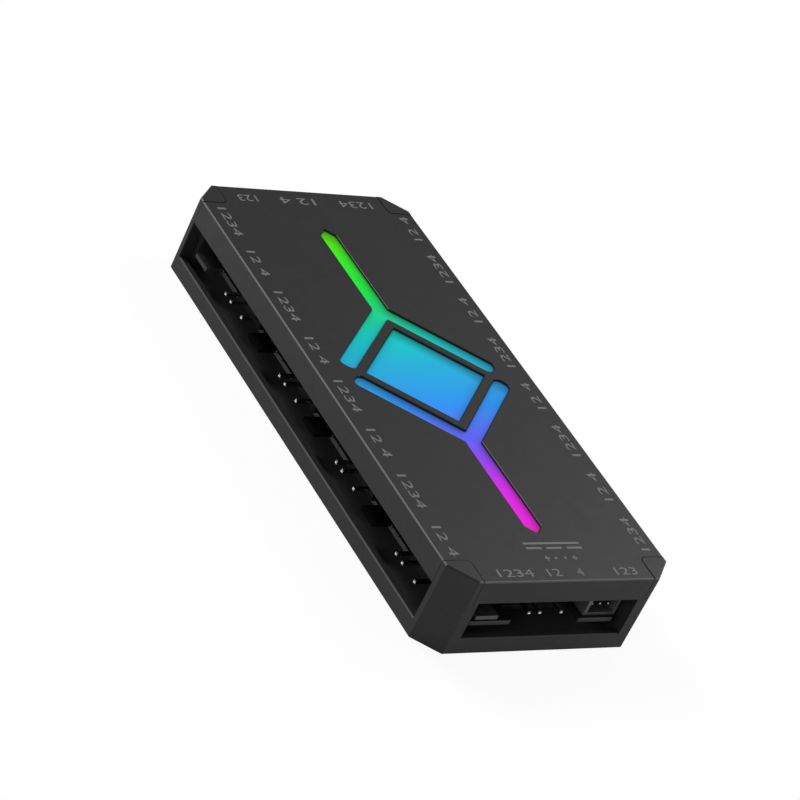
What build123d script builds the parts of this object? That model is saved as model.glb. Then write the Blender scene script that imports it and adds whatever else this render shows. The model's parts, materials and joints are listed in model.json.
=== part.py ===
from build123d import *
import os

os.makedirs("parts", exist_ok=True)

# Fan controller hub. Millimetres, X across, Y along, Z up, origin at the middle of the underside.
# The front, with the power input, faces -Y.

# Ports on the long sides, fan and light headers in turn
port_pitch = 12.92
ports_per_side = 8
end_margin = 8.32

# Casing
case_width = 52.0
case_length = ports_per_side * port_pitch + 2 * end_margin
case_height = 17.75
corner_cut = 4.8
wall = 1.5
floor_thickness = 1.6
rail_height = 3.7
window_height = 8.75
plate_thickness = 1.5
cover_step = 0.06
edge_round = 0.35
sill_bevel = 0.25
foot_bevel = 0.1

# Corner posts of the tray, and the shoulders that carry the cover
post_width = 5.9
post_length = 6.0
post_round = 1.3
seam_gap = 0.1
shoulder_margin = 1.3
shoulder_setback = 3.0
shoulder_step = 1.4

# Circuit board
board_thickness = 1.0
board_lift = 3.45
board_setback = 6.2
board_corner = 2.5
tab_setback = 2.1
tab_corner = 1.2
fan_tab_width = 9.4
fan_tab_shift = -1.1
small_tab_width = 9.3
small_tab_shift = -0.25

# Pins and the headers that carry them
pin_pitch = 2.54
pin_width = 0.64
pin_height = 1.95
pin_point = 0.18
pin_tail = 1.0
bend_gap = 0.9
end_inset = 1.0

fan_tongue_setback = 1.0
fan_tongue_lift = 0.5
fan_tongue_thickness = 0.9
fan_tip_setback = 3.9
fan_pin_reach = 5.1
fan_block_depth = 3.0
fan_block_height = 4.0
fan_block_bevel = 0.4

light_tip_setback = 0.75
light_pin_reach = 4.35
light_block_depth = 2.5
light_block_height = 3.3
light_notch = 0.7

small_pitch = 2.0
small_pin_width = 0.5
small_pin_height = 2.2
small_width = 7.6
small_height = 4.6
small_depth = 5.2
small_wall = 0.75
small_back = 1.2
small_setback = 1.8
small_tip_setback = 2.5
small_key_width = 1.6

# Ports on the two ends, the back a half turn of the front
header_clearance = 1.5
header_gap = 0.4
small_clearance = 0.85

# Light slots in the top: a square window on its corner, a frame, two forked slots
light_window = 20.5
frame_width = 1.9
slot_width = 3.75
slot_end_round = 1.5
bridge_neck = 1.2
bar_width = 3.95
bar_reach = 46.9
slot_bevel = 0.1

# Diffuser sheet with ribs up into the slots, and the cover's stakes that hold it
diffuser_thickness = 1.0
slot_recess = 0.4
rib_clearance = 0.08
diffuser_bar_width = 10.0
diffuser_margin = 4.2
diffuser_end_margin = 1.9
diffuser_side_gap = 2.7
stake_width = 1.4
stake_head_width = 2.4
stake_head_height = 0.6
stake_clearance = 0.1
bar_stake_x = 3.6
bar_stake_y = 40.0
frame_stake_x = 8.0
frame_stake_y = 17.5

# Case screws, from below into the cover's bosses
screw_x = 7.6
screw_inset = 22.0
screw_diameter = 2.4
screw_length = 9.0
screw_head = 4.4
screw_head_height = 1.6
screw_sink = 0.3
screw_cross = 0.9
screw_cross_depth = 0.9
screw_clearance = 0.2
head_clearance = 0.3
pillar_width = 7.0
boss_width = 4.8
boss_run_out = 1.0
support_width = 2.6
support_setback = 11.0
support_pitch = 25.84

# Parts on the board
led_width = 5.0
led_height = 1.6
led_bar_pitch = 11.0
led_bar_offset = 20.0
led_frame_offset = 7.0
chip_length = 10.0
chip_width = 3.9
chip_height = 1.4
chip_stand = 0.1
chip_y = 10.0
lead_spacing = 1.27
leads_per_side = 8
lead_width = 0.4
lead_reach = 1.0
lead_thickness = 0.15
regulator_width = 6.5
regulator_depth = 3.5
regulator_height = 1.6
regulator_lead_spacing = 2.3
regulator_lead_width = 0.7
regulator_tab_width = 3.0
regulator_lead_reach = 1.75
regulator_y = -29.5
capacitor_diameter = 6.3
capacitor_height = 5.4
capacitor_base = 6.6
capacitor_base_height = 0.8
capacitor_inset = 14.5
capacitor_spacing = 16.0

# Levels and places that follow from the sizes
half_width = case_width / 2
half_length = case_length / 2
skirt_level = rail_height + window_height
cover_top = case_height - cover_step
skirt_height = cover_top - skirt_level
plate_level = cover_top - plate_thickness
board_level = floor_thickness + board_lift
board_top = board_level + board_thickness
header_width = 4 * pin_pitch
fan_block_setback = fan_tip_setback + fan_pin_reach
light_block_setback = light_tip_setback + light_pin_reach
fan_bend = fan_block_setback + fan_block_depth + bend_gap
light_bend = light_block_setback + light_block_depth + bend_gap
small_bend = small_setback + small_depth + bend_gap
screw_y = half_length - screw_inset
fan_places = [(n - 1.5) * pin_pitch for n in range(4)]
light_places = [fan_places[0], fan_places[1], fan_places[3]]
small_places = [(n - 1) * small_pitch for n in range(3)]

# Each port is a place on the board's top at the casing's face, with its own X pointing out
left_ports = []
right_ports = []
for n in range(ports_per_side):
    port_y = half_length - end_margin - (n + 0.5) * port_pitch
    left_ports.append(Location((-half_width, port_y, board_top), (0, 0, 180)))
    right_ports.append(Location((half_width, -port_y, board_top), (0, 0, 0)))


def end_port(x, back):
    y = half_length - end_inset
    if back:
        return Location((-x, y, board_top), (0, 0, 90))
    return Location((x, -y, board_top), (0, 0, -90))


side_pins = light_bend + pin_width / 2
front_fan_x = header_width / 2 + side_pins + header_clearance - half_width
power_x = front_fan_x + header_width + header_gap
front_small_x = half_width - post_width - shoulder_margin - small_clearance - small_width / 2

fan_ports = {"front_fan": end_port(front_fan_x, False), "back_fan": end_port(front_fan_x, True)}
light_ports = {"power": end_port(power_x, False), "back_light": end_port(power_x, True)}
small_ports = {"signal": end_port(front_small_x, False), "panel": end_port(front_small_x, True)}
for side, ports in (("left", left_ports), ("right", right_ports)):
    for n, port in enumerate(ports):
        if n % 2 == 0:
            fan_ports[f"{side}_fan_{n // 2 + 1}"] = port
        else:
            light_ports[f"{side}_light_{n // 2 + 1}"] = port


def save(piece, name):
    piece.label = name
    export_step(piece, f"parts/{name}.step")


# Tray: floor, low rails, corner posts and shoulders, pillars for the board
with BuildPart() as base_tray:
    with BuildSketch() as footprint:
        Rectangle(case_width, case_length)
        chamfer(footprint.vertices(), corner_cut)
    extrude(amount=rail_height)
    chamfer(base_tray.faces().sort_by(Axis.Z)[-1].edges(), sill_bevel)
    chamfer(base_tray.faces().sort_by(Axis.Z)[0].edges(), foot_bevel)
    with BuildSketch(Plane.XY.offset(floor_thickness)):
        offset(footprint.sketch, amount=-wall, kind=Kind.INTERSECTION)
    extrude(amount=rail_height, mode=Mode.SUBTRACT)

    with BuildSketch(Plane.XY.offset(foot_bevel)) as posts:
        with GridLocations(case_width - post_width, case_length - post_length, 2, 2):
            Rectangle(post_width, post_length)
        fillet(posts.vertices().sort_by_distance((0, 0, foot_bevel))[:4], post_round)
        add(footprint.sketch, mode=Mode.INTERSECT)
    extrude(amount=case_height - foot_bevel)
    post_tops = base_tray.faces().sort_by(Axis.Z)[-4:]
    outer_edges = []
    for edge in post_tops.edges().filter_by(GeomType.LINE):
        middle = edge.center()
        beyond_side = abs(middle.X) > half_width - post_width + edge_round
        beyond_end = abs(middle.Y) > half_length - post_length + edge_round
        if beyond_side and beyond_end:
            outer_edges.append(edge)
        elif abs(abs(middle.X) - half_width) < edge_round or abs(abs(middle.Y) - half_length) < edge_round:
            outer_edges.append(edge)
    fillet(outer_edges, edge_round)

    shoulder_width = post_width + shoulder_margin - shoulder_setback
    shoulder_length = post_length + shoulder_step
    shoulder_x = 2 * (half_width - shoulder_setback) - shoulder_width
    with BuildSketch(Plane.XY.offset(foot_bevel)):
        with GridLocations(shoulder_x, case_length - shoulder_length, 2, 2):
            Rectangle(shoulder_width, shoulder_length)
        add(footprint.sketch, mode=Mode.INTERSECT)
    extrude(amount=skirt_level - foot_bevel)

    with BuildSketch(Plane.XY.offset(floor_thickness)):
        with GridLocations(2 * screw_x, 2 * screw_y, 2, 2):
            Rectangle(pillar_width, pillar_width)
        with GridLocations(2 * (half_width - support_setback), support_pitch, 2, 3):
            Rectangle(support_width, support_width)
    extrude(amount=board_lift)
    with BuildSketch():
        with GridLocations(2 * screw_x, 2 * screw_y, 2, 2):
            Circle(screw_head / 2 + head_clearance)
    extrude(amount=screw_sink + screw_head_height, mode=Mode.SUBTRACT)
    with BuildSketch():
        with GridLocations(2 * screw_x, 2 * screw_y, 2, 2):
            Circle(screw_diameter / 2 + screw_clearance)
    extrude(amount=board_level, mode=Mode.SUBTRACT)
save(base_tray.part, "base_tray")

# Cover: plate and skirts notched round the posts, light slots, screw bosses and stakes
with BuildPart() as top_cover:
    with BuildSketch(Plane.XY.offset(skirt_level)) as cover_outline:
        Rectangle(case_width, case_length)
        with GridLocations(case_width, case_length, 2, 2):
            Rectangle(2 * (post_width + seam_gap), 2 * (post_length + seam_gap), mode=Mode.SUBTRACT)
        notch_corners = cover_outline.vertices().sort_by_distance((0, 0, skirt_level))[:4]
        fillet(notch_corners, post_round + seam_gap)
    extrude(amount=skirt_height)
    rim = top_cover.faces().sort_by(Axis.Z)[-1].edges().filter_by(GeomType.LINE)
    fillet(rim.group_by(Axis.X)[0] + rim.group_by(Axis.X)[-1], edge_round)
    rim = top_cover.faces().sort_by(Axis.Z)[-1].edges().filter_by(GeomType.LINE)
    fillet(rim.group_by(Axis.Y)[0] + rim.group_by(Axis.Y)[-1], edge_round)
    with BuildSketch(Plane.XY.offset(skirt_level)):
        offset(cover_outline.sketch, amount=-wall, kind=Kind.INTERSECTION)
    extrude(amount=skirt_height - plate_thickness, mode=Mode.SUBTRACT)

    frame_side = light_window + 2 * frame_width
    fork_side = frame_side + 2 * slot_width
    bridge_tip = frame_side * 2**0.5 / 2 - bridge_neck
    bridge_side = fork_side / 2
    bar_straight = bar_reach - bar_width / 2
    with BuildSketch(Plane.XY.offset(plate_level)) as light_slots:
        Rectangle(fork_side, fork_side, rotation=45)
        Rectangle(frame_side, frame_side, rotation=45, mode=Mode.SUBTRACT)
        with GridLocations(2 * bridge_tip + bridge_side * 2**0.5, 0, 2, 1):
            Rectangle(bridge_side, bridge_side, rotation=45, mode=Mode.SUBTRACT)
        fork_ends = light_slots.vertices().group_by(lambda corner: round(abs(corner.X), 3))[1:]
        fillet([corner for group in fork_ends for corner in group], slot_end_round)
        with GridLocations(0, bar_straight + frame_side / 2, 1, 2):
            Rectangle(bar_width, bar_straight - frame_side / 2)
        with GridLocations(0, 2 * bar_straight, 1, 2):
            Rectangle(bar_width / 2**0.5, bar_width / 2**0.5, rotation=45)
        Rectangle(frame_side, frame_side, rotation=45, mode=Mode.SUBTRACT)
        Rectangle(light_window, light_window, rotation=45)
    extrude(amount=plate_thickness, mode=Mode.SUBTRACT)
    chamfer(top_cover.faces().sort_by(Axis.Z)[-1].inner_wires().edges(), slot_bevel)

    with BuildSketch(Plane.XY.offset(board_top)):
        with GridLocations(2 * screw_x, 2 * screw_y, 2, 2):
            RegularPolygon(boss_width / 2, 8, major_radius=False)
    extrude(amount=plate_level - board_top)
    screw_depth = screw_sink + screw_head_height + screw_length + boss_run_out - board_top
    with BuildSketch(Plane.XY.offset(board_top)):
        with GridLocations(2 * screw_x, 2 * screw_y, 2, 2):
            Circle(screw_diameter / 2)
    extrude(amount=screw_depth, mode=Mode.SUBTRACT)
    with BuildSketch(Plane.XY.offset(plate_level)):
        with GridLocations(2 * bar_stake_x, 2 * bar_stake_y, 2, 2):
            Rectangle(stake_width, stake_width)
        with GridLocations(2 * frame_stake_x, 2 * frame_stake_y, 2, 2):
            Rectangle(stake_width, stake_width)
    extrude(amount=-diffuser_thickness)
    with BuildSketch(Plane.XY.offset(plate_level - diffuser_thickness)):
        with GridLocations(2 * bar_stake_x, 2 * bar_stake_y, 2, 2):
            Rectangle(stake_head_width, stake_head_width)
        with GridLocations(2 * frame_stake_x, 2 * frame_stake_y, 2, 2):
            Rectangle(stake_head_width, stake_head_width)
    extrude(amount=-stake_head_height)
save(top_cover.part, "top_cover")

# Diffuser: milky sheet against the plate's underside, with ribs that nearly fill the slots
with BuildPart() as light_diffuser:
    sheet_side = fork_side + 2 * diffuser_margin
    sheet_width = case_width - 2 * (wall + diffuser_side_gap)
    sheet_length = 2 * (bar_reach + diffuser_end_margin)
    stake_hole = stake_width + 2 * stake_clearance
    with BuildSketch(Plane.XY.offset(plate_level - diffuser_thickness)):
        Rectangle(sheet_side, sheet_side, rotation=45)
        Rectangle(sheet_width, sheet_side * 2, mode=Mode.INTERSECT)
        Rectangle(diffuser_bar_width, sheet_length)
        with GridLocations(2 * bar_stake_x, 2 * bar_stake_y, 2, 2):
            Rectangle(stake_hole, stake_hole, mode=Mode.SUBTRACT)
        with GridLocations(2 * frame_stake_x, 2 * frame_stake_y, 2, 2):
            Rectangle(stake_hole, stake_hole, mode=Mode.SUBTRACT)
    extrude(amount=diffuser_thickness)
    with BuildSketch(Plane.XY.offset(plate_level)):
        offset(light_slots.sketch, amount=-rib_clearance, kind=Kind.INTERSECTION)
    extrude(amount=plate_thickness - slot_recess)
save(light_diffuser.part, "light_diffuser")

# Board: outline with end tabs, screw holes, and a hole for every pin
with BuildPart() as main_board:
    tab_length = board_setback - tab_setback
    with BuildSketch(Plane.XY.offset(board_level)) as board_outline:
        Rectangle(case_width - 2 * board_setback, case_length - 2 * board_setback)
        chamfer(board_outline.vertices(), board_corner)
        for turn in (1, -1):
            tab_y = -turn * (half_length - tab_setback - tab_length / 2)
            with Locations((turn * (front_fan_x + fan_tab_shift), tab_y)):
                Rectangle(fan_tab_width, tab_length)
            with Locations((turn * (front_small_x + small_tab_shift), tab_y)):
                Rectangle(small_tab_width, tab_length)
            case_corner = (turn * half_width, -turn * half_length, 0)
            chamfer(board_outline.vertices().sort_by_distance(case_corner)[0], tab_corner)
        with GridLocations(2 * screw_x, 2 * screw_y, 2, 2):
            Circle(screw_diameter / 2 + screw_clearance, mode=Mode.SUBTRACT)
        for ports, places, bend, size in (
            (fan_ports, fan_places, fan_bend, pin_width),
            (light_ports, light_places, light_bend, pin_width),
            (small_ports, small_places, small_bend, small_pin_width),
        ):
            for port in ports.values():
                for place in places:
                    with Locations((port * Location((-bend, place, 0))).position):
                        Rectangle(size, size, mode=Mode.SUBTRACT)
    extrude(amount=board_thickness)
save(main_board.part, "main_board")


def header_pins(port, places, tip, bend, height, size):
    with BuildPart() as pins:
        for place in places:
            with BuildSketch(Plane(port * Location((0, place, 0)) * Plane.XZ.location)):
                with Locations((-(tip + bend) / 2 - size / 4, height)):
                    Rectangle(bend - tip + size / 2, size)
                with Locations((-bend, (height - board_thickness - pin_tail) / 2)):
                    Rectangle(size, height + board_thickness + pin_tail)
            extrude(amount=size / 2, both=True)
        out = Axis((0, 0, 0), Plane(port).x_dir)
        chamfer(pins.faces().filter_by(out).group_by(out)[-1].edges(), pin_point)
    return pins.part


def fan_header(port):
    face = Plane(port * Plane.YZ.offset(-fan_block_setback).location)
    with BuildPart() as header:
        with BuildSketch(face) as front:
            with Locations((0, fan_block_height / 2)):
                Rectangle(header_width, fan_block_height)
            chamfer(front.vertices().group_by(Axis.Y)[-1], fan_block_bevel)
            with GridLocations(pin_pitch, 0, 4, 1):
                with Locations((0, pin_height)):
                    Rectangle(pin_width, pin_width, mode=Mode.SUBTRACT)
        extrude(amount=-fan_block_depth)
        with BuildSketch(face):
            with Locations((-header_width / 4, fan_tongue_lift + fan_tongue_thickness / 2)):
                Rectangle(header_width / 2, fan_tongue_thickness)
        extrude(amount=fan_block_setback - fan_tongue_setback)
    return header.part


def light_header(port):
    face = Plane(port * Plane.YZ.offset(-light_block_setback).location)
    with BuildPart() as header:
        with BuildSketch(face):
            with Locations((0, light_block_height / 2)):
                Rectangle(header_width, light_block_height)
            with Locations((0, light_block_height)):
                with GridLocations(pin_pitch, 0, 5, 1):
                    Rectangle(light_notch, light_notch, rotation=45, mode=Mode.SUBTRACT)
            with Locations(*[(place, pin_height) for place in light_places]):
                Rectangle(pin_width, pin_width, mode=Mode.SUBTRACT)
        extrude(amount=-light_block_depth)
    return header.part


def small_header(port):
    face = Plane(port * Plane.YZ.offset(-small_setback).location)
    with BuildPart() as header:
        with BuildSketch(face):
            with Locations((0, small_height / 2)):
                Rectangle(small_width, small_height)
        extrude(amount=-small_depth)
        with BuildSketch(face):
            with Locations((0, small_height / 2)):
                Rectangle(small_width - 2 * small_wall, small_height - 2 * small_wall)
            with GridLocations(small_width - 2 * small_wall - small_key_width, 0, 2, 1):
                with Locations((0, small_height - small_wall / 2)):
                    Rectangle(small_key_width, small_wall)
        extrude(amount=-(small_depth - small_back), mode=Mode.SUBTRACT)
        with BuildSketch(face):
            with GridLocations(small_pitch, 0, 3, 1):
                with Locations((0, small_pin_height)):
                    Rectangle(small_pin_width, small_pin_width)
        extrude(amount=-small_depth, mode=Mode.SUBTRACT)
    return header.part


for name, port in fan_ports.items():
    save(fan_header(port), f"{name}_header")
    save(header_pins(port, fan_places, fan_tip_setback, fan_bend, pin_height, pin_width), f"{name}_pins")
for name, port in light_ports.items():
    save(light_header(port), f"{name}_header")
    save(
        header_pins(port, light_places, light_tip_setback, light_bend, pin_height, pin_width),
        f"{name}_pins",
    )
for name, port in small_ports.items():
    save(small_header(port), f"{name}_header")
    save(
        header_pins(port, small_places, small_tip_setback, small_bend, small_pin_height, small_pin_width),
        f"{name}_pins",
    )

# Case screws: pan heads in the tray's sinks, shanks up into the cover's bosses
with BuildPart() as case_screws:
    with BuildSketch(Plane.XY.offset(screw_sink)):
        with GridLocations(2 * screw_x, 2 * screw_y, 2, 2):
            Circle(screw_head / 2)
    extrude(amount=screw_head_height)
    with BuildSketch(Plane.XY.offset(screw_sink + screw_head_height)):
        with GridLocations(2 * screw_x, 2 * screw_y, 2, 2):
            Circle(screw_diameter / 2)
    extrude(amount=screw_length)
    with BuildSketch(Plane.XY.offset(screw_sink)):
        with GridLocations(2 * screw_x, 2 * screw_y, 2, 2):
            Rectangle(3 * screw_cross, screw_cross)
            Rectangle(screw_cross, 3 * screw_cross)
    extrude(amount=screw_cross_depth, mode=Mode.SUBTRACT)
save(case_screws.part, "case_screws")

# Parts on the board
with BuildPart() as light_leds:
    with BuildSketch(Plane.XY.offset(board_top)):
        Rectangle(led_width, led_width)
        for n in range(3):
            with GridLocations(0, 2 * (led_bar_offset + n * led_bar_pitch), 1, 2):
                Rectangle(led_width, led_width)
        with GridLocations(2 * led_frame_offset, 2 * led_frame_offset, 2, 2):
            Rectangle(led_width, led_width)
    extrude(amount=led_height)
save(light_leds.part, "light_leds")

with BuildPart() as controller_chip:
    with BuildSketch(Plane.XY.offset(board_top + chip_stand)):
        with Locations((0, chip_y)):
            Rectangle(chip_width, chip_length)
    extrude(amount=chip_height)
    with BuildSketch(Plane.XY.offset(board_top)):
        with Locations((0, chip_y)):
            with GridLocations(chip_width + lead_reach, lead_spacing, 2, leads_per_side):
                Rectangle(lead_reach, lead_width)
    extrude(amount=chip_stand + lead_thickness)
save(controller_chip.part, "controller_chip")

# The regulator and the capacitors stand midway between the lamps and the fan headers' pins
side_part_x = (led_width / 2 + half_width - fan_bend - pin_width / 2) / 2
with BuildPart() as voltage_regulator:
    with BuildSketch(Plane.XY.offset(board_top)):
        with Locations((-side_part_x, regulator_y)):
            Rectangle(regulator_width, regulator_depth)
    extrude(amount=regulator_height)
    with BuildSketch(Plane.XY.offset(board_top)):
        with Locations((-side_part_x, regulator_y - (regulator_depth + regulator_lead_reach) / 2)):
            with GridLocations(regulator_lead_spacing, 0, 3, 1):
                Rectangle(regulator_lead_width, regulator_lead_reach)
        with Locations((-side_part_x, regulator_y + (regulator_depth + regulator_lead_reach) / 2)):
            Rectangle(regulator_tab_width, regulator_lead_reach)
    extrude(amount=lead_thickness)
save(voltage_regulator.part, "voltage_regulator")

with BuildPart() as bulk_capacitors:
    capacitor_y = capacitor_inset + capacitor_spacing / 2 - half_length
    with BuildSketch(Plane.XY.offset(board_top)):
        with Locations((side_part_x, capacitor_y)):
            with GridLocations(0, capacitor_spacing, 1, 2):
                Rectangle(capacitor_base, capacitor_base)
    extrude(amount=capacitor_base_height)
    with BuildSketch(Plane.XY.offset(board_top + capacitor_base_height)):
        with Locations((side_part_x, capacitor_y)):
            with GridLocations(0, capacitor_spacing, 1, 2):
                Circle(capacitor_diameter / 2)
    extrude(amount=capacitor_height - capacitor_base_height)
save(bulk_capacitors.part, "bulk_capacitors")
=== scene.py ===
import json
import math

import bpy
from mathutils import Matrix, Vector


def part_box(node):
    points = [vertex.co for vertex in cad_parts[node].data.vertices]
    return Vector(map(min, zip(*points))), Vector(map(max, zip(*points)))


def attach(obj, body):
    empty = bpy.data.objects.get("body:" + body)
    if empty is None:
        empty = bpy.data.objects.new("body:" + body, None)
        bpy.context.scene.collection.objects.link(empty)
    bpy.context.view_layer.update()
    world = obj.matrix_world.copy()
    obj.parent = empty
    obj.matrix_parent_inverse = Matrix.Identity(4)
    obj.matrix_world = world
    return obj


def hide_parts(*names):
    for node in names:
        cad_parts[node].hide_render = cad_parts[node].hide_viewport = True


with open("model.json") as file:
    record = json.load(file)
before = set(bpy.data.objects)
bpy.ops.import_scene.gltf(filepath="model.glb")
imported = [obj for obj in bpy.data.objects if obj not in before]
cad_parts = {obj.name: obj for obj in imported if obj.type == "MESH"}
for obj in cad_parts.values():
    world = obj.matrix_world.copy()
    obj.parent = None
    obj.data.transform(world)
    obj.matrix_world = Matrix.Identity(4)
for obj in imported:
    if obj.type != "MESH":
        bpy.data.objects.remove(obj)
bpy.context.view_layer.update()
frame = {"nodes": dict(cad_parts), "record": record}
nodes = frame["nodes"]

# Fan controller hub. Metres, X across, Y along, Z up, the front with the power input towards -Y.
MM = 0.001
FACING_UP = 0.9
DIFFUSER_SHEET = 1.0 * MM
POST_INSET_X = 5.95 * MM
POST_INSET_Y = 6.05 * MM
POST_ROUND = 1.35 * MM

cover_low, cover_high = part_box("top_cover")
cover_top = cover_high.z
diffuser_low, diffuser_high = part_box("light_diffuser")
plate_underside = diffuser_low.z + DIFFUSER_SHEET
post_edges = (cover_high.x - POST_INSET_X, cover_high.y - POST_INSET_Y)
board_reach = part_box("main_board")[1]
board_ends = (board_reach.x, board_reach.y)
pin_ends = (-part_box("left_light_1_pins")[0].x, -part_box("power_pins")[0].y)


# Nodes that the finishes share

COLOUR_NOISE_SPAN = (0.35, 0.65)
ROUGHNESS_NOISE_SPAN = (0.3, 0.7)


def grey(level):
    return (level, level, level)


def new_finish(name, colour, roughness, metallic=0.0, specular=0.5):
    finish = bpy.data.materials.new(name)
    finish.use_nodes = True
    shader = finish.node_tree.nodes["Principled BSDF"]
    shader.inputs["Base Color"].default_value = (*colour, 1)
    shader.inputs["Roughness"].default_value = roughness
    shader.inputs["Metallic"].default_value = metallic
    shader.inputs["Specular IOR Level"].default_value = specular
    return finish, finish.node_tree, shader


def coordinates(tree, kind):
    """The place (Object) or the facing (Normal) of a point of the surface."""
    return tree.nodes.new("ShaderNodeTexCoord").outputs[kind]


def split_coordinates(tree, kind):
    """The place or the facing as X, Y and Z."""
    split = tree.nodes.new("ShaderNodeSeparateXYZ")
    tree.links.new(coordinates(tree, kind), split.inputs["Vector"])
    return split.outputs


def link_math(tree, operation, first, second=None, third=None):
    """A Math node. Each value is a socket or a plain number."""
    node = tree.nodes.new("ShaderNodeMath")
    node.operation = operation
    for socket, value in zip(node.inputs, (first, second, third)):
        if value is None:
            continue
        if isinstance(value, (int, float)):
            socket.default_value = value
        else:
            tree.links.new(value, socket)
    return node.outputs["Value"]


def link_mix(tree, factor, first, second):
    """A colour Mix node. Each colour is a socket or a plain colour."""
    node = tree.nodes.new("ShaderNodeMix")
    node.data_type = "RGBA"
    tree.links.new(factor, node.inputs["Factor"])
    for socket, value in ((node.inputs["A"], first), (node.inputs["B"], second)):
        if isinstance(value, tuple):
            socket.default_value = (*value, 1)
        else:
            tree.links.new(value, socket)
    return node.outputs["Result"]


def map_range(tree, value, source, target):
    """A Map Range node from one pair of limits to another."""
    node = tree.nodes.new("ShaderNodeMapRange")
    node.inputs["From Min"].default_value, node.inputs["From Max"].default_value = source
    node.inputs["To Min"].default_value, node.inputs["To Max"].default_value = target
    tree.links.new(value, node.inputs["Value"])
    return node.outputs["Result"]


def colour_ramp(tree, value, stops):
    """A Color Ramp node. Each stop is a share and a colour."""
    node = tree.nodes.new("ShaderNodeValToRGB")
    elements = node.color_ramp.elements
    for element, (share, colour) in zip(elements, (stops[0], stops[-1])):
        element.position = share
        element.color = (*colour, 1)
    for share, colour in stops[1:-1]:
        elements.new(share).color = (*colour, 1)
    tree.links.new(value, node.inputs["Fac"])
    return node.outputs["Color"]


def object_noise(tree, scale, detail=2.0):
    noise = tree.nodes.new("ShaderNodeTexNoise")
    noise.inputs["Scale"].default_value = scale
    noise.inputs["Detail"].default_value = detail
    tree.links.new(coordinates(tree, "Object"), noise.inputs["Vector"])
    return noise.outputs["Fac"]


def mottle(tree, shader, dark, light, scale):
    """Colour drifts between two near shades over the surface."""
    low, high = COLOUR_NOISE_SPAN
    colour = colour_ramp(tree, object_noise(tree, scale), ((low, dark), (high, light)))
    tree.links.new(colour, shader.inputs["Base Color"])
    return colour


def vary_roughness(tree, shader, low, high, scale):
    roughness = map_range(tree, object_noise(tree, scale), ROUGHNESS_NOISE_SPAN, (low, high))
    tree.links.new(roughness, shader.inputs["Roughness"])
    return roughness


def grain(tree, shader, scale, depth, strength):
    """Fine bump, such as a spark-eroded mould leaves."""
    bump = tree.nodes.new("ShaderNodeBump")
    bump.inputs["Strength"].default_value = strength
    bump.inputs["Distance"].default_value = depth
    tree.links.new(object_noise(tree, scale, detail=3.0), bump.inputs["Height"])
    tree.links.new(bump.outputs["Normal"], shader.inputs["Normal"])


def from_middle(tree, place):
    """Distances from the case's middle, across and along."""
    return [link_math(tree, "ABSOLUTE", place[axis]) for axis in "XY"]


def outermost(tree, place, ends, depth):
    """What lies within a depth of the outer ends, across and along."""
    return [
        link_math(tree, "GREATER_THAN", distance, end - depth)
        for distance, end in zip(from_middle(tree, place), ends)
    ]


# Casing

RIM_SLOPE = 0.56
RIM_SLOPE_SPREAD = 0.40
CUT_CORNER_LIMIT = 0.03
SEAM_HALF_WIDTH = 0.12 * MM
SEAM_DEPTH = 0.15 * MM
SEAM_ROUGHNESS = 0.95
TRAY_FLOOR_LOW = 0.5 * MM
TRAY_FLOOR_HIGH = 3.0 * MM


def painted_rim_highlight(tree, facing):
    """Where a highlight is painted: the slopes of straight rims and sills, but not of the cut corners.
    """
    slope = link_math(tree, "COMPARE", facing["Z"], RIM_SLOPE, RIM_SLOPE_SPREAD)
    corner = link_math(tree, "MULTIPLY", facing["X"], facing["Y"])
    straight = link_math(tree, "COMPARE", corner, 0.0, CUT_CORNER_LIMIT)
    return link_math(tree, "MULTIPLY", slope, straight)


def post_seam_shade(tree, place):
    """A narrow line of painted shade round each rounded post, where it meets the cover on the top."""
    squares = []
    for distance, edge in zip(from_middle(tree, place), post_edges):
        inwards = link_math(tree, "SUBTRACT", edge + POST_ROUND, distance)
        inwards = link_math(tree, "MAXIMUM", inwards, 0.0)
        squares.append(link_math(tree, "MULTIPLY", inwards, inwards))
    from_centre = link_math(tree, "SQRT", link_math(tree, "ADD", *squares))
    line = link_math(tree, "COMPARE", from_centre, POST_ROUND, SEAM_HALF_WIDTH)
    on_top = link_math(tree, "GREATER_THAN", place["Z"], cover_top - SEAM_DEPTH)
    return link_math(tree, "MULTIPLY", line, on_top)


def painted_tray_floor_light(tree, place, facing):
    """What faces up low inside the tray, where light is painted."""
    middle = (TRAY_FLOOR_LOW + TRAY_FLOOR_HIGH) / 2
    spread = (TRAY_FLOOR_HIGH - TRAY_FLOOR_LOW) / 2
    low_down = link_math(tree, "COMPARE", place["Z"], middle, spread)
    upwards = link_math(tree, "GREATER_THAN", facing["Z"], FACING_UP)
    return link_math(tree, "MULTIPLY", low_down, upwards)


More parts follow.
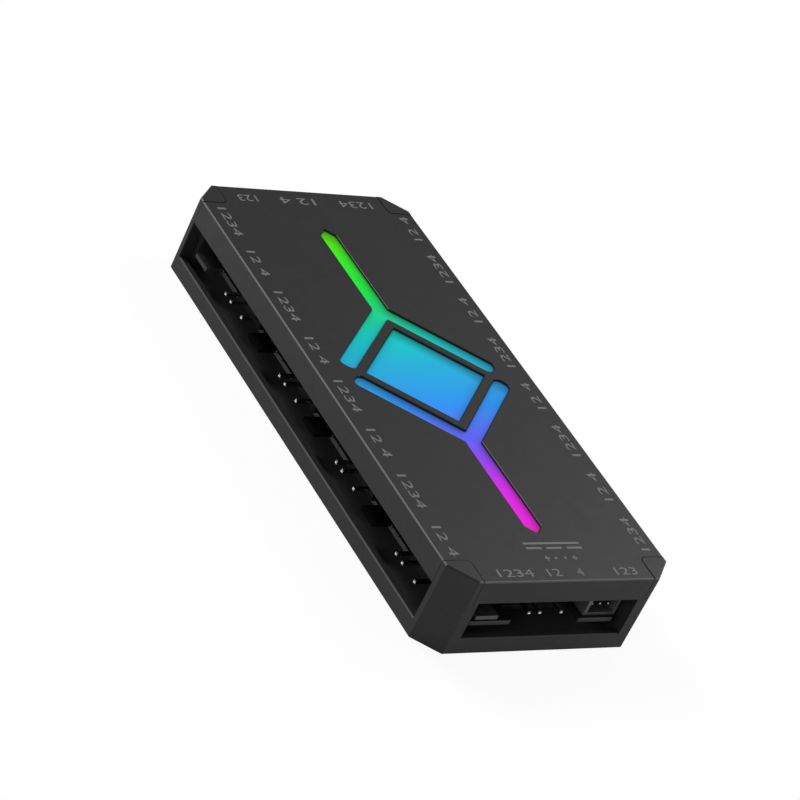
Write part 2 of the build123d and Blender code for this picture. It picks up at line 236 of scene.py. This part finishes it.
def casing_plastic():
    """Fine matte black, with painted highlights on the straight rims, painted light on the tray floor
    and painted shade in the post seams.
    """
    finish, tree, shader = new_finish("casing_plastic", grey(0.018), 0.45, specular=0.2)
    place = split_coordinates(tree, "Object")
    facing = split_coordinates(tree, "Normal")
    colour = mottle(tree, shader, grey(0.017), grey(0.019), 900)
    roughness = vary_roughness(tree, shader, 0.42, 0.48, 260)
    grain(tree, shader, 7000, 0.02 * MM, 0.2)
    # Painted highlight: a lighter colour on the straight rims and sills, weaker on the tray's sills
    # than on the cover.
    upper = link_math(tree, "GREATER_THAN", place["Z"], cover_low.z)
    rim_highlight_colour = link_mix(tree, upper, grey(0.06), grey(0.11))
    seam_shade = post_seam_shade(tree, place)
    colour = link_mix(tree, painted_rim_highlight(tree, facing), colour, rim_highlight_colour)
    # Painted shade: a near-black line in the seams round the posts.
    colour = link_mix(tree, seam_shade, colour, grey(0.005))
    # Painted light: the tray floor is lighter, in place of the light that falls into the windows.
    colour = link_mix(tree, painted_tray_floor_light(tree, place, facing), colour, grey(0.05))
    tree.links.new(colour, shader.inputs["Base Color"])
    seam_roughness = link_math(tree, "MULTIPLY", seam_shade, SEAM_ROUGHNESS)
    roughness = link_math(tree, "MAXIMUM", roughness, seam_roughness)
    tree.links.new(roughness, shader.inputs["Roughness"])
    return finish


# Light diffuser

SLOT_REACH = 47 * MM
RIB_FOOT = 0.05 * MM
LIT_TOP_DEPTH = 0.1 * MM
SHADE_DISTANCE = 3.4 * MM
SHADE_TOWARDS = (0.68, 0.68, 0.27)
SHADE_SPAN = (0.05, 0.88)
SHADE_LIGHT = (0.03, 1.0)
LIGHT_COLOURS = (
    (0.012, (0.47, 0.020, 0.34)),
    (0.04, (0.56, 0.013, 0.49)),
    (0.14, (0.47, 0.018, 0.56)),
    (0.22, (0.22, 0.041, 0.58)),
    (0.29, (0.085, 0.078, 0.60)),
    (0.40, (0.022, 0.18, 0.56)),
    (0.54, (0.014, 0.275, 0.42)),
    (0.62, (0.006, 0.355, 0.345)),
    (0.71, (0.010, 0.40, 0.15)),
    (0.78, (0.009, 0.51, 0.045)),
    (0.87, (0.021, 0.54, 0.020)),
    (0.97, (0.062, 0.51, 0.004)),
)


def slot_shade(tree):
    """Painted shade beside the slots' walls on the back right, as a soft shadow from light at the back
    right.
    """
    towards = tree.nodes.new("ShaderNodeCombineXYZ")
    for axis, part in zip("XYZ", SHADE_TOWARDS):
        towards.inputs[axis].default_value = part
    beside = tree.nodes.new("ShaderNodeAmbientOcclusion")
    beside.samples = 16
    beside.inputs["Distance"].default_value = SHADE_DISTANCE
    tree.links.new(towards.outputs["Vector"], beside.inputs["Normal"])
    return map_range(tree, beside.outputs["AO"], SHADE_SPAN, SHADE_LIGHT)


def lit_diffuser():
    """Milky sheet lit from below, magenta at the front through blue to green at the back."""
    finish, tree, shader = new_finish("lit_diffuser", (0.1, 0.5, 0.8), 0.45, specular=0.02)
    place = split_coordinates(tree, "Object")
    share = map_range(tree, place["Y"], (-SLOT_REACH, SLOT_REACH), (0.0, 1.0))
    light = colour_ramp(tree, share, LIGHT_COLOURS)
    in_slot = link_math(tree, "GREATER_THAN", place["Z"], plate_underside + RIB_FOOT)
    milky = link_mix(tree, in_slot, grey(0.10), light)
    # Painted shade: colour and glow darken beside the slots' walls on the back right.
    shaded = link_mix(tree, slot_shade(tree), grey(0.004), milky)
    on_top = link_math(tree, "GREATER_THAN", place["Z"], diffuser_high.z - LIT_TOP_DEPTH)
    glow = link_mix(tree, on_top, grey(0.0), shaded)
    tree.links.new(shaded, shader.inputs["Base Color"])
    tree.links.new(glow, shader.inputs["Emission Color"])
    shader.inputs["Emission Strength"].default_value = 0.5
    return finish


# Board, headers and pins

BOARD_EDGE_DEPTH = 0.3 * MM
BOARD_EDGE_FACING = 0.5
PIN_END_DEPTH = 0.05 * MM
PIN_SIDE_SHADE_SHARE = 0.45
HEADER_SHADES = (0.9, 1.1)


def board_mask():
    """Black solder mask with tracks just seen under it, and dark laminate at the cut edges, with
    painted light making the side edges lighter than the tab edges.
    """
    finish, tree, shader = new_finish("board_mask", (0.01, 0.011, 0.011), 0.35, specular=0.3)
    place = split_coordinates(tree, "Object")
    facing = split_coordinates(tree, "Normal")
    tracks = tree.nodes.new("ShaderNodeTexBrick")
    tracks.inputs["Scale"].default_value = 160
    tracks.inputs["Mortar Size"].default_value = 0.012
    tracks.inputs["Color1"].default_value = (0.010, 0.011, 0.011, 1)
    tracks.inputs["Color2"].default_value = (0.012, 0.013, 0.013, 1)
    tracks.inputs["Mortar"].default_value = (0.022, 0.024, 0.022, 1)
    tree.links.new(coordinates(tree, "Object"), tracks.inputs["Vector"])
    side, tab = outermost(tree, place, board_ends, BOARD_EDGE_DEPTH)
    tilt = link_math(tree, "ABSOLUTE", facing["Z"])
    upright = link_math(tree, "LESS_THAN", tilt, BOARD_EDGE_FACING)
    cut = link_math(tree, "MULTIPLY", upright, link_math(tree, "MAXIMUM", side, tab))
    # Painted light: the same laminate is lighter on the side edges than on the tab edges.
    laminate_and_side_light = link_mix(tree, side, (0.05, 0.05, 0.048), (0.09, 0.09, 0.087))
    colour = link_mix(tree, cut, tracks.outputs["Color"], laminate_and_side_light)
    tree.links.new(colour, shader.inputs["Base Color"])
    vary_roughness(tree, shader, 0.3, 0.42, 500)
    return finish


def header_plastic(name, level, gloss):
    finish, tree, shader = new_finish(name, grey(level), 0.4, specular=gloss)
    dark, light = [grey(share * level) for share in HEADER_SHADES]
    mottle(tree, shader, dark, light, 1500)
    vary_roughness(tree, shader, 0.33, 0.45, 700)
    grain(tree, shader, 9000, 0.01 * MM, 0.2)
    return finish


def tinned_pins(name, dark, light):
    """Bright at the pins' ends and darker along their sides, as painted light and painted shade."""
    finish, tree, shader = new_finish(name, light, 0.2, metallic=1.0)
    plating = mottle(tree, shader, dark, light, 3000)
    vary_roughness(tree, shader, 0.12, 0.24, 4000)
    place = split_coordinates(tree, "Object")
    # Painted light at the pin ends, painted shade along the pins' sides.
    painted_lit_pin_end = link_math(tree, "MAXIMUM", *outermost(tree, place, pin_ends, PIN_END_DEPTH))
    painted_shade_side = tuple(PIN_SIDE_SHADE_SHARE * level for level in dark)
    colour = link_mix(tree, painted_lit_pin_end, painted_shade_side, plating)
    tree.links.new(colour, shader.inputs["Base Color"])
    return finish


# Plain finishes

def zinc_steel():
    finish, tree, shader = new_finish("zinc_steel", grey(0.5), 0.35, metallic=1.0)
    mottle(tree, shader, (0.44, 0.44, 0.45), grey(0.56), 1800)
    vary_roughness(tree, shader, 0.28, 0.45, 2500)
    return finish


def lamp_white():
    finish, tree, shader = new_finish("lamp_white", (0.8, 0.8, 0.76), 0.4)
    mottle(tree, shader, (0.76, 0.76, 0.70), (0.84, 0.84, 0.80), 1200)
    return finish


def chip_black():
    finish, tree, shader = new_finish("chip_black", grey(0.02), 0.5)
    mottle(tree, shader, grey(0.018), grey(0.024), 2500)
    grain(tree, shader, 9000, 0.01 * MM, 0.3)
    return finish


def can_aluminium():
    finish, tree, shader = new_finish("can_aluminium", (0.75, 0.75, 0.76), 0.3, metallic=1.0)
    mottle(tree, shader, (0.70, 0.70, 0.71), (0.80, 0.80, 0.81), 900)
    vary_roughness(tree, shader, 0.22, 0.4, 1500)
    return finish


def print_grey():
    """Grey pad-printed ink, a little uneven."""
    finish, tree, shader = new_finish("print_grey", grey(0.13), 0.6, specular=0.25)
    mottle(tree, shader, grey(0.12), grey(0.14), 2500)
    return finish


# Finishes on the solids

def dress(node, finish):
    node.material_slots[0].material = finish


finishes = {
    "casing": casing_plastic(),
    "diffuser": lit_diffuser(),
    "board": board_mask(),
    "headers": header_plastic("header_plastic", 0.011, 0.06),
    "pins": tinned_pins("bright_tin", (0.80, 0.80, 0.78), (0.90, 0.90, 0.88)),
    "screws": zinc_steel(),
    "lamps": lamp_white(),
    "chips": chip_black(),
    "capacitors": can_aluminium(),
}
# Painted shade and painted light: darker and lighter copies of the pin and header finishes.
painted_shade_tin = tinned_pins("painted_shade_tin", grey(0.10), (0.15, 0.15, 0.145))
painted_shade_fan_plastic = header_plastic("painted_shade_fan_header_plastic", 0.004, 0.0)
painted_light_end_plastic = header_plastic("painted_light_end_header_plastic", 0.07, 0.45)
painted_light_corner_plastic = header_plastic("painted_light_corner_header_plastic", 0.025, 0.16)
ink = print_grey()

for subpart in frame["record"]["subparts"]:
    dress(nodes[subpart["node"]], finishes[subpart["material_slot"]])
# Painted shade and painted light: most fan headers and all their pins get darker copies of the
# finishes, and six headers get lighter copies, for how light falls in the windows.
for name, node in nodes.items():
    if "fan" in name:
        dress(node, painted_shade_tin if name.endswith("_pins") else painted_shade_fan_plastic)
for name in ("front_fan_header", "back_fan_header", "signal_header", "panel_header"):
    dress(nodes[name], painted_light_end_plastic)
for name in ("left_fan_1_header", "right_fan_1_header"):
    dress(nodes[name], painted_light_corner_plastic)


# Steps that the new pieces share

NEAR = 0.001 * MM


def start_piece(add, **size):
    bpy.ops.object.select_all(action="DESELECT")
    add(location=(0, 0, 0), **size)
    return bpy.context.object


def draw_out(step):
    """Extrude what is selected by a step."""
    bpy.ops.mesh.extrude_region_move(TRANSFORM_OT_translate={"value": step})


def flat_plus(span, width):
    """A square drawn out on its four sides."""
    plus = start_piece(bpy.ops.mesh.primitive_plane_add, size=width)
    arm = (span - width) / 2
    reach = width / 2
    for x, y in ((1, 0), (-1, 0), (0, 1), (0, -1)):
        bpy.ops.object.mode_set(mode="EDIT")
        bpy.ops.mesh.select_mode(type="EDGE")
        bpy.ops.mesh.select_all(action="DESELECT")
        bpy.ops.object.mode_set(mode="OBJECT")
        for edge in plus.data.edges:
            ends = [plus.data.vertices[v].co for v in edge.vertices]
            edge.select = all(
                abs(end.x * x + end.y * y - reach) < NEAR and abs(end.x * y + end.y * x) < reach + NEAR
                for end in ends
            )
        bpy.ops.object.mode_set(mode="EDIT")
        draw_out((arm * x, arm * y, 0))
        bpy.ops.mesh.select_mode(type="VERT")
        bpy.ops.object.mode_set(mode="OBJECT")
    return plus


def thicken(height, top_share=1.0):
    """Give the flat outline in hand a height, and its top a share of its size."""
    bpy.ops.object.mode_set(mode="EDIT")
    bpy.ops.mesh.select_all(action="SELECT")
    draw_out((0, 0, height))
    bpy.ops.transform.resize(value=(top_share, top_share, 1), center_override=(0, 0, height))
    bpy.ops.mesh.select_all(action="SELECT")
    bpy.ops.mesh.normals_make_consistent(inside=False)
    bpy.ops.object.mode_set(mode="OBJECT")


def finish_piece(piece, name, finish):
    piece.name = name
    piece.data.name = name
    piece.data.materials.clear()
    piece.data.materials.append(finish)
    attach(piece, "root")


# Pin numbers printed on the top

PRINT_HEIGHT = 0.03 * MM
DIGIT_SHARE = 0.7
STROKE_SPREAD = 0.005
FOUR_PINS = "1234"
LIGHT_PINS = "12 4"

SIDE_PORTS = 8
FIRST_PORT_Y = 47.45 * MM
PORT_STEP = 13.75 * MM
LEFT_PRINT_X = cover_low.x + 3.4 * MM
RIGHT_PRINT_X = cover_high.x - 3.1 * MM
SIDE_DIGITS = 2.1 * MM
SIDE_FAN_LENGTH = 9.4 * MM
SIDE_LIGHT_LENGTH = 8.1 * MM

FRONT_PRINT_Y = cover_low.y + 2.3 * MM
FRONT_DIGITS = 2.0 * MM
FRONT_NUMBERS = (
    ("front_fan_pin_numbers", FOUR_PINS, -11.7 * MM, 8.2 * MM),
    ("power_pin_numbers_1", "12", -2.75 * MM, 3.1 * MM),
    ("power_pin_numbers_2", "4", 3.3 * MM, 1.5 * MM),
    ("signal_pin_numbers", "123", 14.3 * MM, 5.1 * MM),
)
BACK_PRINT_Y = cover_high.y - 3.8 * MM
BACK_DIGITS = 2.2 * MM
BACK_NUMBERS = (
    ("back_fan_pin_numbers", FOUR_PINS, 12.7 * MM, 8.2 * MM),
    ("back_light_pin_numbers", LIGHT_PINS, -1.9 * MM, 8.6 * MM),
    ("panel_pin_numbers", "123", -14.2 * MM, 4.6 * MM),
)


def printed_number(name, digits, place, turn, length, height):
    """Digits of a given length and height, centred on a place on the cover's top."""
    text = start_piece(bpy.ops.object.text_add).data
    text.body = digits
    text.align_x = "CENTER"
    text.align_y = "CENTER"
    text.size = height / DIGIT_SHARE
    text.offset = STROKE_SPREAD * height
    text.extrude = PRINT_HEIGHT / 2
    text.resolution_u = 4
    bpy.ops.object.convert(target="MESH")
    number = bpy.context.object
    low = Vector(map(min, *[v.co for v in number.data.vertices]))
    high = Vector(map(max, *[v.co for v in number.data.vertices]))
    centred = Matrix.Translation((low + high) / -2)
    stretched = Matrix.Diagonal((length / (high.x - low.x), height / (high.y - low.y), 1, 1))
    turned = Matrix.Rotation(math.radians(turn), 4, "Z")
    lifted = Matrix.Translation((*place, cover_top + PRINT_HEIGHT / 2))
    number.data.transform(lifted @ turned @ stretched @ centred)
    finish_piece(number, name, ink)


for n in range(SIDE_PORTS):
    fan_port = n % 2 == 0
    digits = FOUR_PINS if fan_port else LIGHT_PINS
    length = SIDE_FAN_LENGTH if fan_port else SIDE_LIGHT_LENGTH
    port_y = FIRST_PORT_Y - PORT_STEP * n
    left_place = (LEFT_PRINT_X, port_y)
    right_place = (RIGHT_PRINT_X, -port_y)
    printed_number(f"left_pin_numbers_{n + 1}", digits, left_place, -90, length, SIDE_DIGITS)
    printed_number(f"right_pin_numbers_{n + 1}", digits, right_place, 90, length, SIDE_DIGITS)
for name, digits, number_x, length in FRONT_NUMBERS:
    printed_number(name, digits, (number_x, FRONT_PRINT_Y), 0, length, FRONT_DIGITS)
for name, digits, number_x, length in BACK_NUMBERS:
    printed_number(name, digits, (number_x, BACK_PRINT_Y), 180, length, BACK_DIGITS)


# Direct-current sign and polarity marks printed at the power input

SIGN_X = 1.2 * MM
SIGN_STROKE = 0.55 * MM
SIGN_ROUND = 0.08 * MM
BAR_Y = cover_low.y + 10.25 * MM
BAR_LENGTH = 13.2 * MM
DASHES = 3
DASH_Y = cover_low.y + 8.95 * MM
DASH_LENGTH = 3.6 * MM
DASH_STEP = 4.8 * MM
POLARITY_Y = cover_low.y + 6.2 * MM
PLUS_SPAN = 1.3 * MM
PLUS_STROKE = 0.3 * MM
PLUS_X = (-2.05 * MM, 4.5 * MM)
DOT_WIDTH = 0.55 * MM
DOT_ROUND = 0.29 * DOT_WIDTH
DOT_X = (0.0, 2.25 * MM)


def round_corners(offset, segments):
    bpy.ops.object.mode_set(mode="EDIT")
    bpy.ops.mesh.select_all(action="SELECT")
    bpy.ops.mesh.bevel(offset=offset, segments=segments, affect="VERTICES")
    bpy.ops.object.mode_set(mode="OBJECT")


def print_mark(mark, name, place):
    """Give a flat mark the ink's height and lay it on the cover's top."""
    thicken(PRINT_HEIGHT)
    mark.data.transform(Matrix.Translation((*place, cover_top)))
    finish_piece(mark, name, ink)


def printed_bar(name, place, length):
    """One bar of the direct-current sign."""
    bar = start_piece(bpy.ops.mesh.primitive_plane_add, size=1)
    bpy.ops.object.mode_set(mode="EDIT")
    bpy.ops.transform.resize(value=(length, SIGN_STROKE, 1))
    bpy.ops.object.mode_set(mode="OBJECT")
    round_corners(SIGN_ROUND, segments=3)
    print_mark(bar, name, place)


def printed_plus(name, place):
    print_mark(flat_plus(PLUS_SPAN, PLUS_STROKE), name, place)


def printed_dot(name, place):
    dot = start_piece(bpy.ops.mesh.primitive_plane_add, size=DOT_WIDTH)
    round_corners(DOT_ROUND, segments=4)
    print_mark(dot, name, place)


printed_bar("power_sign_bar", (SIGN_X, BAR_Y), BAR_LENGTH)
for n in range(DASHES):
    dash_x = SIGN_X + DASH_STEP * (n - 1)
    printed_bar(f"power_sign_dash_{n + 1}", (dash_x, DASH_Y), DASH_LENGTH)
printed_plus("polarity_plus_1", (PLUS_X[0], POLARITY_Y))
printed_dot("polarity_dot_1", (DOT_X[0], POLARITY_Y))
printed_dot("polarity_dot_2", (DOT_X[1], POLARITY_Y))
printed_plus("polarity_plus_2", (PLUS_X[1], POLARITY_Y))


# Case screws in the sinks of the underside

SCREW_HEAD = 4.4 * MM
SCREW_HEAD_HEIGHT = 1.6 * MM
SCREW_HEAD_ROUND = 0.7 * MM
SCREW_SHANK = 2.4 * MM
SCREW_LENGTH = 9.0 * MM
SCREW_TIP = 1.0 * MM
TIP_SHARE = 0.6
RECESS_SPAN = 2.7 * MM
RECESS_WIDTH = 0.8 * MM
RECESS_DEPTH = 1.0 * MM
RECESS_FLOOR_SHARE = 0.6
RECESS_OVERRUN = 0.05 * MM
SMOOTH_ANGLE = math.radians(35)
SCREWS = (
    ("case_screw_front_left", -1, -1, -30),
    ("case_screw_front_right", 1, -1, 50),
    ("case_screw_back_left", -1, 1, 0),
    ("case_screw_back_right", 1, 1, 80),
)


def pick_faces(piece, wanted):
    bpy.ops.object.mode_set(mode="EDIT")
    bpy.ops.mesh.select_mode(type="FACE")
    bpy.ops.mesh.select_all(action="DESELECT")
    bpy.ops.object.mode_set(mode="OBJECT")
    for face in piece.data.polygons:
        face.select = wanted(face)
    bpy.ops.object.mode_set(mode="EDIT")


def cross_cutter():
    """A cross that narrows with depth, for the driver's recess."""
    cutter = flat_plus(RECESS_SPAN, RECESS_WIDTH)
    thicken(RECESS_DEPTH, RECESS_FLOOR_SHARE)
    cutter.data.transform(Matrix.Translation((0, 0, -SCREW_HEAD_HEIGHT / 2 - RECESS_OVERRUN)))
    return cutter


def case_screw():
    """Rounded pan head with a cross recess, and a shank that tapers at its tip."""
    cutter = cross_cutter()
    screw = start_piece(
        bpy.ops.mesh.primitive_cylinder_add,
        vertices=48,
        radius=SCREW_HEAD / 2,
        depth=SCREW_HEAD_HEIGHT,
    )
    pick_faces(screw, lambda face: face.normal.z > FACING_UP)
    bpy.ops.mesh.inset(thickness=(SCREW_HEAD - SCREW_SHANK) / 2)
    draw_out((0, 0, SCREW_LENGTH - SCREW_TIP))
    draw_out((0, 0, SCREW_TIP))
    bpy.ops.transform.resize(value=(TIP_SHARE, TIP_SHARE, 1))
    pick_faces(screw, lambda face: face.normal.z < -FACING_UP)
    bpy.ops.mesh.region_to_loop()
    bpy.ops.mesh.bevel(offset=SCREW_HEAD_ROUND, segments=5, affect="EDGES")
    bpy.ops.object.mode_set(mode="OBJECT")
    recess = screw.modifiers.new("recess", "BOOLEAN")
    recess.object = cutter
    recess.operation = "DIFFERENCE"
    recess.solver = "EXACT"
    bpy.ops.object.modifier_apply(modifier="recess")
    bpy.data.objects.remove(cutter)
    bpy.ops.object.shade_smooth_by_angle(angle=SMOOTH_ANGLE)
    return screw


screw_low, screw_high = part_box("case_screws")
screw_x = screw_high.x - SCREW_HEAD / 2
screw_y = screw_high.y - SCREW_HEAD / 2
screw_z = screw_low.z + SCREW_HEAD_HEIGHT / 2
pattern_screw = case_screw()
for name, side_x, side_y, turn in SCREWS:
    screw = pattern_screw.copy()
    screw.data = pattern_screw.data.copy()
    bpy.context.scene.collection.objects.link(screw)
    placed = Matrix.Translation((side_x * screw_x, side_y * screw_y, screw_z))
    screw.data.transform(placed @ Matrix.Rotation(math.radians(turn), 4, "Z"))
    finish_piece(screw, name, finishes["screws"])
    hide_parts("case_screws")
bpy.data.objects.remove(pattern_screw)


# Floor, lamps and camera

FLOOR_SIZE = 6.0
FLOOR_Z = -0.2 * MM
FLOOR_SEEN = 0.93
FLOOR_MIRRORED = 0.45
WORLD_LEVEL = 0.2
CAMERA_SENSOR = 36.0
CAMERA_LENS = 138.5163
CAMERA_PLACE = (-0.356069, -0.381128, 0.319674)
CAMERA_RIGHT = (0.811507, -0.440478, 0.383974)
CAMERA_UP = (-0.017096, 0.638925, 0.769079)
CAMERA_BACK = (-0.584093, -0.630677, 0.510962)


def studio_floor():
    """White paper that shines by itself to the camera and, more weakly, in reflections."""
    bpy.ops.object.select_all(action="DESELECT")
    bpy.ops.mesh.primitive_plane_add(size=FLOOR_SIZE, location=(0, 0, FLOOR_Z))
    floor = bpy.context.object
    floor.name = "studio_floor"
    paper, tree, shader = new_finish("floor_paper", grey(0.9), 0.9, specular=0.0)
    white = tree.nodes.new("ShaderNodeEmission")
    white.inputs["Strength"].default_value = 1.0
    rays = tree.nodes.new("ShaderNodeLightPath").outputs
    mirrored = link_math(tree, "ADD", rays["Is Glossy Ray"], rays["Is Transmission Ray"])
    mirrored = link_math(tree, "MULTIPLY", mirrored, FLOOR_MIRRORED)
    seen = link_math(tree, "MULTIPLY", rays["Is Camera Ray"], FLOOR_SEEN)
    mix = tree.nodes.new("ShaderNodeMixShader")
    tree.links.new(link_math(tree, "MAXIMUM", seen, mirrored), mix.inputs["Fac"])
    tree.links.new(shader.outputs["BSDF"], mix.inputs[1])
    tree.links.new(white.outputs["Emission"], mix.inputs[2])
    tree.links.new(mix.outputs["Shader"], tree.nodes["Material Output"].inputs["Surface"])
    floor.data.materials.append(paper)


def studio_world():
    """One plain level of grey all round. The floor fills the camera's view."""
    world = bpy.data.worlds.new("studio")
    bpy.context.scene.world = world
    world.use_nodes = True
    background = world.node_tree.nodes["Background"]
    background.inputs["Color"].default_value = (1, 1, 1, 1)
    background.inputs["Strength"].default_value = WORLD_LEVEL


def soft_lamp(name, place, size, power):
    """A square lamp aimed at the part's origin."""
    lamp = bpy.data.lights.new(name, "AREA")
    lamp.shape = "SQUARE"
    lamp.size = size
    lamp.energy = power
    holder = bpy.data.objects.new(name, lamp)
    bpy.context.scene.collection.objects.link(holder)
    holder.visible_camera = False
    holder.location = place
    holder.rotation_euler = (-Vector(place)).to_track_quat("-Z", "Y").to_euler()


def photo_camera():
    camera = bpy.data.cameras.new("photo_camera")
    camera.sensor_width = CAMERA_SENSOR
    camera.lens = CAMERA_LENS
    camera.clip_start = 0.01
    camera.clip_end = 20.0
    holder = bpy.data.objects.new("photo_camera", camera)
    bpy.context.scene.collection.objects.link(holder)
    turned = Matrix((CAMERA_RIGHT, CAMERA_UP, CAMERA_BACK)).transposed().to_4x4()
    holder.matrix_world = Matrix.Translation(CAMERA_PLACE) @ turned
    bpy.context.scene.camera = holder


studio_floor()
studio_world()
soft_lamp("back_left_lamp", place=(-0.27, 0.57, 0.66), size=0.28, power=5.5)
soft_lamp("back_right_lamp", place=(0.50, 0.14, 0.46), size=0.40, power=2.0)
soft_lamp("front_right_lamp", place=(0.50, -0.17, 0.67), size=0.24, power=1.2)
soft_lamp("left_fill_lamp", place=(-0.50, -0.24, 0.22), size=0.30, power=0.75)
photo_camera()
bpy.context.scene.view_settings.view_transform = "Standard"
